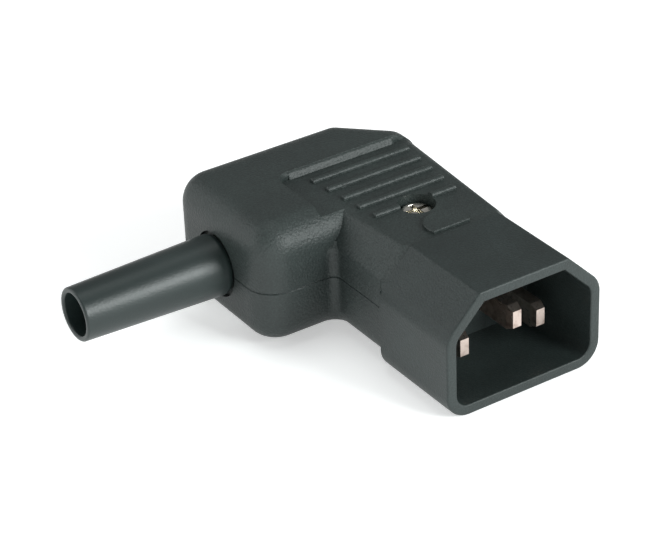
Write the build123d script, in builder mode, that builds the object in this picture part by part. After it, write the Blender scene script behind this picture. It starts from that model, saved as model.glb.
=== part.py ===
from build123d import *
from math import atan2, tan
import os

os.makedirs("parts", exist_ok=True)

# Right-angle rewirable inlet plug, millimetres, +Z up, resting on its plug shroud.
# The origin is the middle of the bounding box, at table height.

# Plug face, sizes of the three-pole 10 A inlet sheet
shroud_w = 28.0
shroud_h = 20.0
shroud_wall = 1.75
shroud_chamfer = 6.0
shroud_r = 4.0
shroud_len = 17.0
shroud_depth = 15.4
rim_bevel = 0.4
mouth_bevel = 0.25
pin_pitch = 14.0
earth_rise = 4.0
pin_t = 2.0
pin_h = 4.0
pin_axis_z = 7.7
live_setback = 5.35
earth_setback = 1.9
shroud_soft = 0.4
tip_len = 1.3
tip_t = 1.5
tip_h = 2.8

# Overall layout
x_rim = 28.6
x_back = -x_rim
y_plug = 18.2
y_tip = -(y_plug + shroud_w / 2)
x_joint = x_rim - shroud_len
x_floor = x_rim - shroud_depth
z_seam = 10.0

# Housing outline, the setbacks measured from the rim
front_setback = 30.6
y_boot = -7.4
z_bottom = 1.0
ceiling_gap = 0.75
recess_depth = 1.1
wall = 2.0
corner_r = 4.8
inner_corner_r = 1.6
corner_fill_top = 16.0
corner_cut = 8.6
cut_r = 3.0
bottom_r = 3.2
top_r = 4.8
seam_bevel = 0.15

# Neck section, where the grip starts and where the shroud starts
grip_setback = 45.2
grip_margin = 0.65
grip_bevel = 0.5
grip_corner_r = 2.0
back_cut = 1.45
back_drop = 3.55
front_cut = 4.05
front_drop = 4.85
back_soft = 2.0
front_soft = 0.9
flare_len = 1.4
flare_gap = 0.15

# Grip ribs
rib_count = 5
rib_setback = 27.5
rib_pitch = 3.65
rib_half = 7.4
rib_half_step = 0.4
rib_w = 0.9
rib_h = 0.55
rib_bevel = 0.25

# Raised half disc between the housing screw and the shroud
pad_setback = 19.2
pad_r = 3.6
pad_flat_setback = 17.8
pad_h = 0.5
pad_bevel = 0.15

# Housing screw and its captive nut
screw_setback = 27.0
screw_d = 3.0
thread_gap = 0.05
hole_gap = 0.2
head_d = 5.2
head_h = 1.8
head_bevel = 0.4
head_sink = 1.0
counterbore_gap = 0.4
boss_wall = 1.2
boss_floor = 1.6
pillar_d = 5.2
pillar_gap = 0.1
nut_af = 5.5
nut_h = 2.4
nut_gap = 0.1
nut_sink = 0.8
nut_roof = 1.2
drive_w = 0.8
drive_len = 3.2
drive_depth = 1.1

# Shroud root gripped by the two shells
root_step = 1.15
root_rise = 1.0
root_cut = 4.0
root_drop = 3.6
root_r = 1.5
root_len = 2.2
root_gap = 0.1
flange_len = 2.0
flange_gap = 0.15
stop_len = 1.2
stop_step = 1.0
stop_rise = 1.5
stop_reach = 3.5

# Room inside the shells
cavity_bevel = 1.8
cavity_cut = 3.15
cavity_drop = 3.55
cavity_r = 1.0

# Blades, terminal blocks and their screws
slot_gap = 0.05
shoulder_len = 1.0
shoulder_t = 3.0
shoulder_h = 5.0
tail_t = 2.0
tail_h = 3.0
tail_reach = 1.8
block_len = 8.0
block_w = 4.8
block_h = 7.0
block_gap = 0.7
block_side_gap = 0.3
block_wall_gap = 0.75
block_bevel = 0.3
wire_w = 3.2
wire_h = 3.4
wire_rise = 1.1
wire_len = 5.3
terminal_screw_back = 5.3
terminal_head_d = 4.6
terminal_head_h = 1.8
terminal_slot_w = 0.7
terminal_slot_d = 0.9
leaf_t = 0.4
leaf_gap = 0.1
leaf_len = 4.6
leaf_tab = 1.4
strap_t = 1.0
strap_y = 3.5
strap_start = 0.6
strap_run = 1.9
earth_block_gap = 1.7
rest_len = 5.0
rest_w = 3.6
barrier_t = 0.7
barrier_drop = 3.25
barrier_over = 0.3

# Cable entry, kink sleeve and cord clamp
boot_setback = 44.5
sleeve_root_d = 10.0
sleeve_tip_d = 8.6
sleeve_bore_d = 6.8
sleeve_neck_d = 7.8
sleeve_flange_d = 11.6
sleeve_flange_len = 2.0
sleeve_shoulder = 0.8
sleeve_tip_bevel = 0.3
sleeve_stand = 0.3
entry_ring = 0.35
entry_depth = 0.9
entry_gap = 0.1
clamp_y = 2.5
clamp_w = 6.0
clamp_side_gap = 0.5
clamp_end = 2.8
clamp_ear = 3.0
clamp_hump = 4.6
clamp_hump_gap = 0.1
clamp_groove_d = 7.0
clamp_hump_round = 1.2
clamp_end_round = 1.5
post_d = 6.0
post_rise = 1.0
saddle_w = 9.6
saddle_drop = 1.6
insert_d = 4.2
insert_h = 5.0
insert_gap = 0.05
clamp_head_d = 5.4
clamp_head_h = 2.0
clamp_shank_short = 0.6

# Tongue round the seam and hooks at the blind end
lip_h = 1.0
lip_t = 0.9
lip_gap = 0.1
hook_count = 2
hook_y = 9.0
hook_pitch = 9.0
hook_w = 4.0
hook_t = 1.2
hook_drop = 3.2
nose_h = 1.2
nose_out = 0.5
nose_lead = 0.4
hook_root = 1.5
hook_gap = 0.15

# Places along the plug axis
x_front = x_rim - front_setback
grip_x = x_rim - grip_setback
rib_x = x_rim - rib_setback
pad_x = x_rim - pad_setback
pad_flat_x = x_rim - pad_flat_setback
screw_x = x_rim - screw_setback
x_root = x_joint - root_len
x_flange = x_root - flange_len
x_shoulder = x_flange - shoulder_len
x_block = x_shoulder - block_gap
earth_block_x = x_block - block_len - earth_block_gap
x_stop = x_flange - flange_gap - stop_len
x_hook = x_back + wall

# Widths, the neck wide enough for a terminal block on either side of the screw pillar
counterbore_d = head_d + 2 * counterbore_gap
boss_r = counterbore_d / 2 + boss_wall
block_y = boss_r + barrier_t + block_side_gap + block_w / 2
block_shift = block_y - pin_pitch / 2
cavity_half = block_y + block_w / 2 + block_wall_gap
neck_half = cavity_half + wall
y_neck = y_plug - neck_half
y_side = y_plug + neck_half
grip_y = y_neck - grip_margin
back_flat = neck_half - back_cut
front_flat = neck_half - front_cut
cavity_flat = cavity_half - cavity_cut
root_half = cavity_half - root_step
root_flat = root_half - root_cut

# Heights, the ceiling clear of the screw in the raised earth terminal
z_inside = z_bottom + wall
z_earth = pin_axis_z + earth_rise
z_ceiling = z_earth + block_h / 2 + terminal_head_h + ceiling_gap
z_grip = z_ceiling + wall
z_top = z_grip + recess_depth
back_shoulder = z_grip - back_drop
front_shoulder = z_grip - front_drop
cavity_shoulder = z_ceiling - cavity_drop
root_low = z_inside + root_rise
root_high = z_ceiling - root_step
root_shoulder = root_high - root_drop
stop_low = z_inside + stop_rise
stop_high = z_seam + stop_reach
barrier_top = z_ceiling - barrier_drop
z_seat = z_grip - head_sink - head_h
z_boss = z_seat - boss_floor
z_nut = z_bottom + nut_sink
z_roof = z_nut + nut_h + nut_roof
z_hook = z_seam - hook_drop
z_hook_root = z_seam + lip_h + lip_gap
z_block = pin_axis_z - block_h / 2
z_earth_block = z_earth - block_h / 2

# Cable entry and clamp, the clamp as long as the chamber is wide
boot_x = x_rim - boot_setback
boot_z = z_seam
entry_d = sleeve_root_d + 2 * entry_ring
post_top = boot_z + post_rise
saddle_top = boot_z - saddle_drop
clamp_len = 2 * (boot_x - x_back - wall - clamp_side_gap)
clamp_pitch = clamp_len - 2 * clamp_end
clamp_hump_w = clamp_pitch - clamp_head_d - 2 * clamp_hump_gap
clamp_shank = clamp_ear + insert_h - clamp_shank_short

on_seat = (Align.CENTER, Align.CENTER, Align.MIN)
under_seat = (Align.CENTER, Align.CENTER, Align.MAX)
pin_places = [(-pin_pitch / 2, pin_axis_z), (pin_pitch / 2, pin_axis_z), (0, z_earth)]
on_seat = (Align.CENTER, Align.CENTER, Align.MIN)
under_seat = (Align.CENTER, Align.CENTER, Align.MAX)


def near(items, x, y):
    """Returns the vertex of a flat sketch closest to a point."""
    return min(items, key=lambda v: (v.X - x) ** 2 + (v.Y - y) ** 2)


def plan_outline(inset, x_end):
    """The L-shaped outline of the housing seen from above, drawn in by an inset."""
    x0 = x_back + inset
    x1 = x_front - inset
    y0 = y_boot + inset
    y1 = y_neck + inset
    y2 = y_side - inset
    cut = corner_cut - inset * (2 - 2 ** 0.5)
    with BuildSketch() as s:
        with BuildLine():
            Polyline(
                (x0, y0), (x1, y0), (x1, y1), (x_end, y1), (x_end, y2),
                (x0 + cut, y2), (x0, y2 - cut), close=True)
        make_face()
        fillet([near(s.vertices(), x0, y0), near(s.vertices(), x1, y0)], corner_r - inset)
        fillet([near(s.vertices(), x0 + cut, y2), near(s.vertices(), x0, y2 - cut)], cut_r - inset / 2)
        fillet(near(s.vertices(), x1, y1), inner_corner_r + inset)
    return s.sketch


def chamber_outline(inset):
    """The outline of the cable chamber without the neck, drawn in by an inset."""
    x0 = x_back + inset
    x1 = x_front - inset
    y0 = y_boot + inset
    y2 = y_side - inset
    cut = corner_cut - inset * (2 - 2 ** 0.5)
    with BuildSketch() as s:
        with BuildLine():
            Polyline((x0, y0), (x1, y0), (x1, y2), (x0 + cut, y2), (x0, y2 - cut), close=True)
        make_face()
        fillet([near(s.vertices(), x0, y0), near(s.vertices(), x1, y0)], corner_r - inset)
        fillet([near(s.vertices(), x0 + cut, y2), near(s.vertices(), x0, y2 - cut)], cut_r - inset / 2)
    return s.sketch


def section(half, low, high, flat, shoulder, r, soft=0.0):
    """A section across the plug axis, its top corners cut and softened if asked, its bottom corners rounded."""
    with BuildSketch() as s:
        with BuildLine():
            Polyline(
                (-half, low), (half, low), (half, shoulder), (flat, high),
                (-flat, high), (-half, shoulder), close=True)
        make_face()
        fillet([near(s.vertices(), -half, low), near(s.vertices(), half, low)], r)
        if soft:
            tops = [near(s.vertices(), side * flat, high) for side in (-1, 1)]
            fillet(tops + [near(s.vertices(), side * half, shoulder) for side in (-1, 1)], soft)
    return s.sketch


def neck_room(gap):
    """The inner section of the neck, drawn in by a gap."""
    half = cavity_half - gap
    high = z_ceiling - gap
    return section(half, z_inside + gap, high, cavity_flat - gap, cavity_shoulder - gap, cavity_r)


def root_outline(gap):
    """The section of the shroud's root, grown by a gap."""
    high = root_high + gap
    return section(root_half + gap, root_low - gap, high, root_flat + gap, root_shoulder + gap, root_r)


def shroud_outline(inset):
    """The six-sided section of the shroud, drawn in by an inset."""
    cut = shroud_chamfer - inset * (2 - 2 ** 0.5)
    half = shroud_w / 2 - inset
    high = shroud_h - inset
    return section(half, inset, high, half - cut, high - cut, shroud_r - inset, shroud_soft)


def across(x):
    """A plane square to the plug axis, y to the right and z up, facing the plug end."""
    return square_to_plug(x, y_plug, 0)


def square_to_plug(x, y, z):
    """A plane square to the plug axis with its origin at a point, y to the right and z up."""
    return Plane(origin=(x, y, z), x_dir=(0, 1, 0), z_dir=(1, 0, 0))


def along_cable(y):
    """A plane square to the cable axis, x to the right of it and z up, facing the cable end."""
    return Plane(origin=(boot_x, y, 0), x_dir=(1, 0, 0), z_dir=(0, -1, 0))


def blade(y, z, setback):
    """A contact blade with a bevelled tip and a shoulder, at a place across the plug axis."""
    x_bevel = x_rim - setback - tip_len
    with BuildPart() as bar:
        with BuildSketch(across(x_flange)):
            with Locations((y, z)):
                Rectangle(pin_t, pin_h)
        extrude(amount=x_bevel - x_flange)
        with BuildSketch(across(x_bevel)):
            with Locations((y, z)):
                Rectangle(pin_t, pin_h)
        with BuildSketch(across(x_bevel + tip_len)):
            with Locations((y, z)):
                Rectangle(tip_t, tip_h)
        loft()
        with BuildSketch(across(x_shoulder)):
            with Locations((y, z)):
                Rectangle(shoulder_t, shoulder_h)
        extrude(amount=shoulder_len)
    return bar.part


def straight_tail(y):
    """The tail of a line or neutral blade, from its shoulder into its terminal block."""
    with BuildPart() as tail:
        with BuildSketch(across(x_block - tail_reach)):
            with Locations((y, pin_axis_z)):
                Rectangle(tail_t, tail_h)
        extrude(amount=tail_reach + block_gap)
    return tail.part


# Outer shape of the housing, cut into two shells at the seam
with BuildPart() as base_shape:
    with BuildSketch(Plane.XY.offset(z_bottom)):
        add(plan_outline(0, x_joint - flare_len))
    extrude(amount=z_seam - z_bottom)
    low_edges = base_shape.edges().group_by(Axis.Z)[0]
    front = low_edges.sort_by(Axis.X)[-1]
    fillet([e for e in low_edges if e != front], bottom_r)

with BuildPart() as chamber_top:
    with BuildSketch(Plane.XY.offset(z_seam)):
        add(chamber_outline(0))
    extrude(amount=z_top - z_seam)
    fillet(chamber_top.edges().group_by(Axis.Z)[-1], top_r)
    with BuildSketch(Plane.XY.offset(z_grip)):
        with Locations((grip_x, grip_y)):
            recess = Rectangle(x_rim - grip_x, shroud_w, align=(Align.MIN, Align.MIN))
        fillet(near(recess.vertices(), grip_x, grip_y), grip_corner_r)
    extrude(amount=recess_depth, mode=Mode.SUBTRACT)
    brink = chamber_top.edges().group_by(Axis.Z)[-1]
    chamfer(brink.sort_by_distance((grip_x, grip_y, z_top))[:3], grip_bevel)
    with BuildSketch(Plane.XY.offset(z_seam)):
        with Locations((grip_x, y_plug)):
            Rectangle(x_rim - grip_x, shroud_w, align=(Align.MIN, Align.MIN))
    extrude(amount=z_top - z_seam, mode=Mode.SUBTRACT)

with BuildPart() as neck_top:
    with BuildSketch(across(grip_x)):
        add(section(neck_half, z_bottom, z_grip, back_flat, back_shoulder, bottom_r, back_soft))
    with BuildSketch(across(x_joint - flare_len)):
        add(section(neck_half, z_bottom, z_grip, front_flat, front_shoulder, bottom_r, front_soft))
    loft()
    split(bisect_by=Plane.XY.offset(z_seam), keep=Keep.TOP)

with BuildPart() as flare:
    with BuildSketch(across(x_joint - flare_len)):
        add(section(neck_half, z_bottom, z_grip, front_flat, front_shoulder, bottom_r, front_soft))
    with BuildSketch(across(x_joint)):
        half = shroud_w / 2 - flare_gap
        high = shroud_h - flare_gap
        flat = shroud_w / 2 - shroud_chamfer
        shoulder = shroud_h - shroud_chamfer
        add(section(half, flare_gap, high, flat, shoulder, shroud_r, shroud_soft))
    loft()

with BuildPart() as corner_fill:
    with BuildSketch(Plane.XY.offset(z_seam)):
        with Locations((x_front, y_neck)):
            Rectangle(2 * inner_corner_r, 2 * inner_corner_r)
        with Locations((x_front + inner_corner_r, y_neck - inner_corner_r)):
            Circle(inner_corner_r, mode=Mode.SUBTRACT)
            beyond = 2 * inner_corner_r
            Rectangle(beyond, beyond, align=(Align.MIN, Align.MAX), mode=Mode.SUBTRACT)
    extrude(amount=corner_fill_top - z_seam)
    split(bisect_by=Plane(origin=(x_front, y_neck, corner_fill_top), z_dir=(1, -1, 1)), keep=Keep.BOTTOM)

with BuildPart() as outer:
    add(base_shape.part)
    add(chamber_top.part)
    add(neck_top.part)
    add(flare.part)
    add(corner_fill.part)

# Room inside the housing
with BuildPart() as cavity:
    with BuildSketch(Plane.XY.offset(z_inside)):
        add(chamber_outline(wall))
    extrude(amount=z_top - z_bottom - 2 * wall)
    chamfer(cavity.edges().group_by(Axis.Z)[-1], cavity_bevel)
    with BuildSketch(Plane.XY.offset(z_ceiling)):
        with Locations((grip_x - wall, grip_y - wall)):
            Rectangle(x_rim - grip_x, shroud_w + wall, align=(Align.MIN, Align.MIN))
    extrude(amount=wall, mode=Mode.SUBTRACT)
    with BuildSketch(across(grip_x + wall)):
        add(neck_room(0))
    extrude(amount=x_root - grip_x - wall)
    with BuildSketch(across(x_root)):
        add(root_outline(root_gap))
    extrude(amount=root_len)
    with BuildSketch(along_cable(y_boot + wall)):
        with Locations((0, boot_z)):
            Circle(sleeve_neck_d / 2 + entry_gap)
    extrude(amount=wall)
    with BuildSketch(along_cable(y_boot + entry_depth)):
        with Locations((0, boot_z)):
            Circle(entry_d / 2)
    extrude(amount=entry_depth)

# Lower shell, with the nut tower, terminal rests, barriers and the posts of the cord clamp
with BuildPart() as lower_shell:
    add(outer.part)
    split(bisect_by=Plane.XY.offset(z_seam), keep=Keep.BOTTOM)
    rim_edges = lower_shell.edges().group_by(Axis.Z)[-1]
    chamfer([e for e in rim_edges if e != rim_edges.sort_by(Axis.X)[-1]], seam_bevel)
    with BuildSketch(Plane.XY.offset(z_seam)):
        add(plan_outline(wall - lip_t, x_root))
        add(plan_outline(wall, x_joint), mode=Mode.SUBTRACT)
    extrude(amount=lip_h)
    add(cavity.part, mode=Mode.SUBTRACT)
    with BuildSketch(across(x_stop)):
        with Locations((-cavity_half, stop_low), (cavity_half, stop_low)):
            Rectangle(2 * stop_step, z_seam - stop_low, align=(Align.CENTER, Align.MIN))
    extrude(amount=stop_len)
    with BuildSketch(Plane.XY.offset(z_inside)):
        with Locations((x_block - block_len / 2, y_plug)):
            with GridLocations(0, 2 * block_y, 1, 2):
                Rectangle(rest_len, rest_w)
    extrude(amount=z_block - z_inside)
    with BuildSketch(Plane.XY.offset(z_inside)):
        with Locations((earth_block_x - block_len / 2, y_plug + strap_y)):
            Rectangle(rest_len, rest_w)
    extrude(amount=z_earth_block - z_inside)
    with BuildSketch(Plane.XY.offset(z_inside)):
        with Locations((x_block - block_len / 2, y_plug)):
            with GridLocations(0, 2 * boss_r + barrier_t, 1, 2):
                Rectangle(block_len + 2 * barrier_over, barrier_t)
    extrude(amount=barrier_top - z_inside)
    with BuildSketch(Plane.XY.offset(z_inside)):
        with Locations((screw_x, y_plug)):
            Circle(boss_r)
    extrude(amount=z_roof - z_inside)
    with BuildSketch(Plane.XY.offset(z_roof)):
        with Locations((screw_x, y_plug)):
            Circle(pillar_d / 2)
    extrude(amount=z_boss - pillar_gap - z_roof)
    with BuildSketch(Plane.XY.offset(z_bottom)):
        with Locations((screw_x, y_plug)):
            RegularPolygon(nut_af / 2 + nut_gap, 6, major_radius=False)
    extrude(amount=nut_sink + nut_h, mode=Mode.SUBTRACT)
    with Locations((screw_x, y_plug, z_boss)):
        Hole(screw_d / 2 + hole_gap)
    with BuildSketch(Plane.XY.offset(z_inside)):
        with Locations((boot_x, clamp_y)):
            with GridLocations(clamp_pitch, 0, 2, 1):
                Circle(post_d / 2)
    extrude(amount=post_top - z_inside)
    with BuildSketch(along_cable(clamp_y + clamp_w / 2)):
        with Locations((0, z_inside)):
            Rectangle(saddle_w, saddle_top - z_inside, align=(Align.CENTER, Align.MIN))
        with Locations((0, boot_z)):
            Circle(clamp_groove_d / 2, mode=Mode.SUBTRACT)
    extrude(amount=clamp_w)
    with Locations((boot_x, clamp_y, post_top)):
        with GridLocations(clamp_pitch, 0, 2, 1):
            Hole(insert_d / 2 + insert_gap, depth=insert_h)
    for k in range(hook_count):
        with BuildSketch(Plane.XY.offset(z_hook - hook_gap)):
            with Locations((x_hook + hook_gap, hook_y + k * hook_pitch)):
                Rectangle(nose_out + hook_gap, hook_w + 2 * hook_gap, align=(Align.MAX, Align.CENTER))
        extrude(amount=nose_h + 2 * hook_gap, mode=Mode.SUBTRACT)
lower_shell.part.label = "lower_shell"
export_step(lower_shell.part, "parts/lower_shell.step")

# Grip ribs, drawn a little into the floor they stand on
with BuildPart() as ribs:
    with BuildSketch(Plane.XY.offset(z_grip - rib_h)):
        for k in range(rib_count):
            with Locations((rib_x - k * rib_pitch, y_plug)):
                Rectangle(rib_w, 2 * (rib_half + k * rib_half_step))
    extrude(amount=2 * rib_h)
    chamfer(ribs.edges().group_by(Axis.Z)[-1], rib_bevel)

# Raised half disc, flat towards the shroud
with BuildPart() as pad:
    with BuildSketch(Plane.XY.offset(z_grip - pad_h)):
        with Locations((pad_x, y_plug)):
            Circle(pad_r)
        with Locations((pad_flat_x, y_plug)):
            Rectangle(pad_r, 2 * pad_r, align=(Align.MIN, Align.CENTER), mode=Mode.SUBTRACT)
    extrude(amount=2 * pad_h)
    chamfer(pad.edges().group_by(Axis.Z)[-1], pad_bevel)

# Upper shell, with the grip, the screw boss and the hooks at its blind end
with BuildPart() as upper_shell:
    add(outer.part)
    split(bisect_by=Plane.XY.offset(z_seam), keep=Keep.TOP)
    rim_edges = upper_shell.edges().group_by(Axis.Z)[0]
    chamfer([e for e in rim_edges if e != rim_edges.sort_by(Axis.X)[-1]], seam_bevel)
    add(ribs.part)
    add(pad.part)
    add(cavity.part, mode=Mode.SUBTRACT)
    with BuildSketch(Plane.XY.offset(z_seam)):
        add(plan_outline(wall - lip_t - lip_gap, x_root))
    extrude(amount=lip_h + lip_gap, mode=Mode.SUBTRACT)
    with BuildSketch(across(x_stop)):
        with Locations((-cavity_half, stop_high), (cavity_half, stop_high)):
            Rectangle(2 * stop_step, stop_high - z_seam - lip_h - lip_gap, align=(Align.CENTER, Align.MAX))
    extrude(amount=stop_len)
    with BuildSketch(Plane.XY.offset(z_boss)):
        with Locations((screw_x, y_plug)):
            Circle(boss_r)
    extrude(amount=z_grip - z_boss)
    with Locations((screw_x, y_plug, z_grip + rib_h)):
        CounterBoreHole(screw_d / 2 + hole_gap, counterbore_d / 2, rib_h + head_sink + head_h)
    with BuildSketch(Plane(origin=(0, hook_y - hook_w / 2, 0), x_dir=(1, 0, 0), z_dir=(0, 1, 0))):
        x_face = x_hook + hook_gap
        x_arm = x_face + hook_t
        x_nose = x_face - nose_out
        z_arm = z_hook_root + hook_root
        z_nose = z_hook + nose_h
        with BuildLine():
            Polyline(
                (x_hook, -z_hook_root), (x_hook, -z_arm), (x_arm, -z_arm), (x_arm, -z_hook), (x_face, -z_hook),
                (x_nose, -z_hook - nose_lead), (x_nose, -z_nose), (x_face, -z_nose), (x_face, -z_hook_root),
                close=True)
        make_face()
    with Locations([(0, k * hook_pitch, 0) for k in range(hook_count)]):
        extrude(amount=hook_w)
upper_shell.part.label = "upper_shell"
export_step(upper_shell.part, "parts/upper_shell.step")

# Shroud, its base, and the root and flange that the shells grip
with BuildPart() as shroud:
    with BuildSketch(across(x_joint)):
        add(shroud_outline(0))
    extrude(amount=shroud_len)
    chamfer(shroud.faces().sort_by(Axis.X)[-1].edges(), rim_bevel)
    with BuildSketch(across(x_floor)):
        add(shroud_outline(shroud_wall))
    extrude(amount=shroud_depth, mode=Mode.SUBTRACT)
    chamfer(shroud.faces().sort_by(Axis.X)[-1].inner_wires()[0].edges(), mouth_bevel)
    with BuildSketch(across(x_root)):
        add(root_outline(0))
    extrude(amount=root_len)
    with BuildSketch(across(x_flange)):
        add(neck_room(flange_gap))
    extrude(amount=flange_len)
    with BuildSketch(across(x_flange)):
        with Locations(*pin_places):
            Rectangle(pin_t + 2 * slot_gap, pin_h + 2 * slot_gap)
    extrude(amount=x_floor - x_flange, mode=Mode.SUBTRACT)
shroud.part.label = "shroud"
export_step(shroud.part, "parts/shroud.step")

# Blades, with a shoulder behind the flange and a tail for the terminal block
with BuildPart() as line_pin:
    add(blade(-pin_pitch / 2, pin_axis_z, live_setback))
    add(straight_tail(-pin_pitch / 2))
line_pin.part.label = "line_pin"
export_step(line_pin.part, "parts/line_pin.step")

with BuildPart() as neutral_pin:
    add(blade(pin_pitch / 2, pin_axis_z, live_setback))
    add(straight_tail(pin_pitch / 2))
neutral_pin.part.label = "neutral_pin"
export_step(neutral_pin.part, "parts/neutral_pin.step")

# The earth blade's strap steps aside to pass the screw pillar
with BuildPart() as earth_pin:
    add(blade(0, z_earth, earth_setback))
    with BuildSketch(Plane.XY.offset(z_earth - tail_h / 2)):
        bend = strap_t / 2 * tan(atan2(strap_y, strap_run) / 2)
        x_bend = x_shoulder - strap_start
        x_end = earth_block_x - tail_reach
        near_side = y_plug - strap_t / 2
        far_side = y_plug + strap_t / 2
        with BuildLine():
            Polyline(
                (x_shoulder, near_side), (x_bend - bend, near_side),
                (x_bend - strap_run - bend, near_side + strap_y), (x_end, near_side + strap_y),
                (x_end, far_side + strap_y), (x_bend - strap_run + bend, far_side + strap_y),
                (x_bend + bend, far_side), (x_shoulder, far_side), close=True)
        make_face()
    extrude(amount=tail_h)
earth_pin.part.label = "earth_pin"
export_step(earth_pin.part, "parts/earth_pin.step")

# Terminal blocks, each with its clamping screw and wire leaf
terminals = {
    "line": (x_block, y_plug - block_y, pin_axis_z, block_shift, tail_t),
    "neutral": (x_block, y_plug + block_y, pin_axis_z, -block_shift, tail_t),
    "earth": (earth_block_x, y_plug + strap_y, z_earth, 0, strap_t),
}
for name, (x, y, z, shift, tail) in terminals.items():
    x_wire = x - block_len
    z_low = z - block_h / 2
    z_high = z + block_h / 2
    with BuildPart() as block:
        with BuildSketch(square_to_plug(x, y, z)):
            Rectangle(block_w, block_h)
        extrude(amount=-block_len)
        chamfer(block.edges().filter_by(Axis.X), block_bevel)
        with BuildSketch(square_to_plug(x, y, z)):
            with Locations((shift, 0)):
                Rectangle(tail + 2 * slot_gap, tail_h + 2 * slot_gap)
        extrude(amount=-tail_reach - slot_gap, mode=Mode.SUBTRACT)
        with BuildSketch(square_to_plug(x_wire, y, z_low)):
            with Locations((0, wire_rise)):
                Rectangle(wire_w, wire_h, align=(Align.CENTER, Align.MIN))
        extrude(amount=wire_len, mode=Mode.SUBTRACT)
        with Locations((x - terminal_screw_back, y, z_high)):
            Hole(screw_d / 2, depth=block_h - wire_rise - wire_h)
    block.part.label = name + "_terminal"
    export_step(block.part, "parts/" + name + "_terminal.step")

    z_leaf = z_low + wire_rise + wire_h - leaf_gap - leaf_t
    with BuildPart() as leaf:
        with BuildSketch(square_to_plug(x_wire, y, z_leaf)):
            Rectangle(wire_w - 2 * leaf_gap, leaf_t, align=(Align.CENTER, Align.MIN))
        extrude(amount=leaf_len)
        extrude(leaf.faces().sort_by(Axis.X)[0], amount=leaf_gap + leaf_t)
        with BuildSketch(square_to_plug(x_wire - leaf_gap, y, z_leaf)):
            Rectangle(wire_w - 2 * leaf_gap, leaf_t + leaf_tab, align=(Align.CENTER, Align.MIN))
        extrude(amount=-leaf_t)
    leaf.part.label = name + "_wire_leaf"
    export_step(leaf.part, "parts/" + name + "_wire_leaf.step")

    with BuildPart() as clamp_bolt:
        with Locations((x - terminal_screw_back, y, z_high)):
            Cylinder(terminal_head_d / 2, terminal_head_h, align=on_seat)
            Cylinder(screw_d / 2 - thread_gap, z_high - z_leaf - leaf_t, align=under_seat)
        with Locations((x - terminal_screw_back, y, z_high + terminal_head_h)):
            Box(terminal_slot_w, terminal_head_d, terminal_slot_d, align=under_seat, mode=Mode.SUBTRACT)
    clamp_bolt.part.label = name + "_terminal_screw"
    export_step(clamp_bolt.part, "parts/" + name + "_terminal_screw.step")

# Housing screw, with a slot and a cross in its head, and the nut in the lower shell
with BuildPart() as housing_screw:
    with Locations((screw_x, y_plug, z_seat)):
        Cylinder(head_d / 2, head_h, align=on_seat)
        Cylinder(screw_d / 2 - thread_gap, z_seat - z_nut, align=under_seat)
    chamfer(housing_screw.edges().group_by(Axis.Z)[-1], head_bevel)
    with Locations((screw_x, y_plug, z_seat + head_h)):
        Box(drive_w, head_d, drive_depth, align=under_seat, mode=Mode.SUBTRACT)
        Box(drive_len, drive_w, drive_depth, align=under_seat, mode=Mode.SUBTRACT)
housing_screw.part.label = "housing_screw"
export_step(housing_screw.part, "parts/housing_screw.step")

with BuildPart() as housing_nut:
    with BuildSketch(Plane.XY.offset(z_nut)):
        with Locations((screw_x, y_plug)):
            RegularPolygon(nut_af / 2, 6, major_radius=False)
            Circle(screw_d / 2, mode=Mode.SUBTRACT)
    extrude(amount=nut_h)
housing_nut.part.label = "housing_nut"
export_step(housing_nut.part, "parts/housing_nut.step")

# Kink sleeve, turned about the cable axis
with BuildPart() as kink_sleeve:
    y_wall = y_boot + wall
    y_shoulder = y_boot - sleeve_stand
    with BuildSketch(Plane.XY.offset(boot_z)) as sleeve_half:
        with BuildLine():
            Polyline(
                (boot_x + sleeve_bore_d / 2, y_wall + sleeve_flange_len),
                (boot_x + sleeve_flange_d / 2, y_wall + sleeve_flange_len),
                (boot_x + sleeve_flange_d / 2, y_wall), (boot_x + sleeve_neck_d / 2, y_wall),
                (boot_x + sleeve_neck_d / 2, y_shoulder), (boot_x + sleeve_root_d / 2, y_shoulder),
                (boot_x + sleeve_tip_d / 2, y_tip), (boot_x + sleeve_bore_d / 2, y_tip), close=True)
        make_face()
        chamfer(near(sleeve_half.vertices(), boot_x + sleeve_root_d / 2, y_shoulder), sleeve_shoulder)
        chamfer(sleeve_half.vertices().group_by(Axis.Y)[0], sleeve_tip_bevel)
    revolve(axis=Axis((boot_x, 0, boot_z), (0, 1, 0)))
kink_sleeve.part.label = "kink_sleeve"
export_step(kink_sleeve.part, "parts/kink_sleeve.step")

# Cord clamp, an arched bar over the saddle, with its screws and their inserts
with BuildPart() as cord_clamp:
    with BuildSketch(along_cable(clamp_y + clamp_w / 2)) as arch:
        with Locations((0, post_top)):
            Rectangle(clamp_len, clamp_ear, align=(Align.CENTER, Align.MIN))
            Rectangle(clamp_hump_w, clamp_hump, align=(Align.CENTER, Align.MIN))
        fillet(arch.vertices().group_by(Axis.Y)[-1], clamp_hump_round)
        with Locations((0, boot_z)):
            Circle(clamp_groove_d / 2, mode=Mode.SUBTRACT)
    extrude(amount=clamp_w)
    uprights = cord_clamp.edges().filter_by(Axis.Z).group_by(Axis.X)
    fillet(uprights[0] + uprights[-1], clamp_end_round)
    with Locations((boot_x, clamp_y, post_top + clamp_ear)):
        with GridLocations(clamp_pitch, 0, 2, 1):
            Hole(screw_d / 2 + hole_gap)
cord_clamp.part.label = "cord_clamp"
export_step(cord_clamp.part, "parts/cord_clamp.step")

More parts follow.
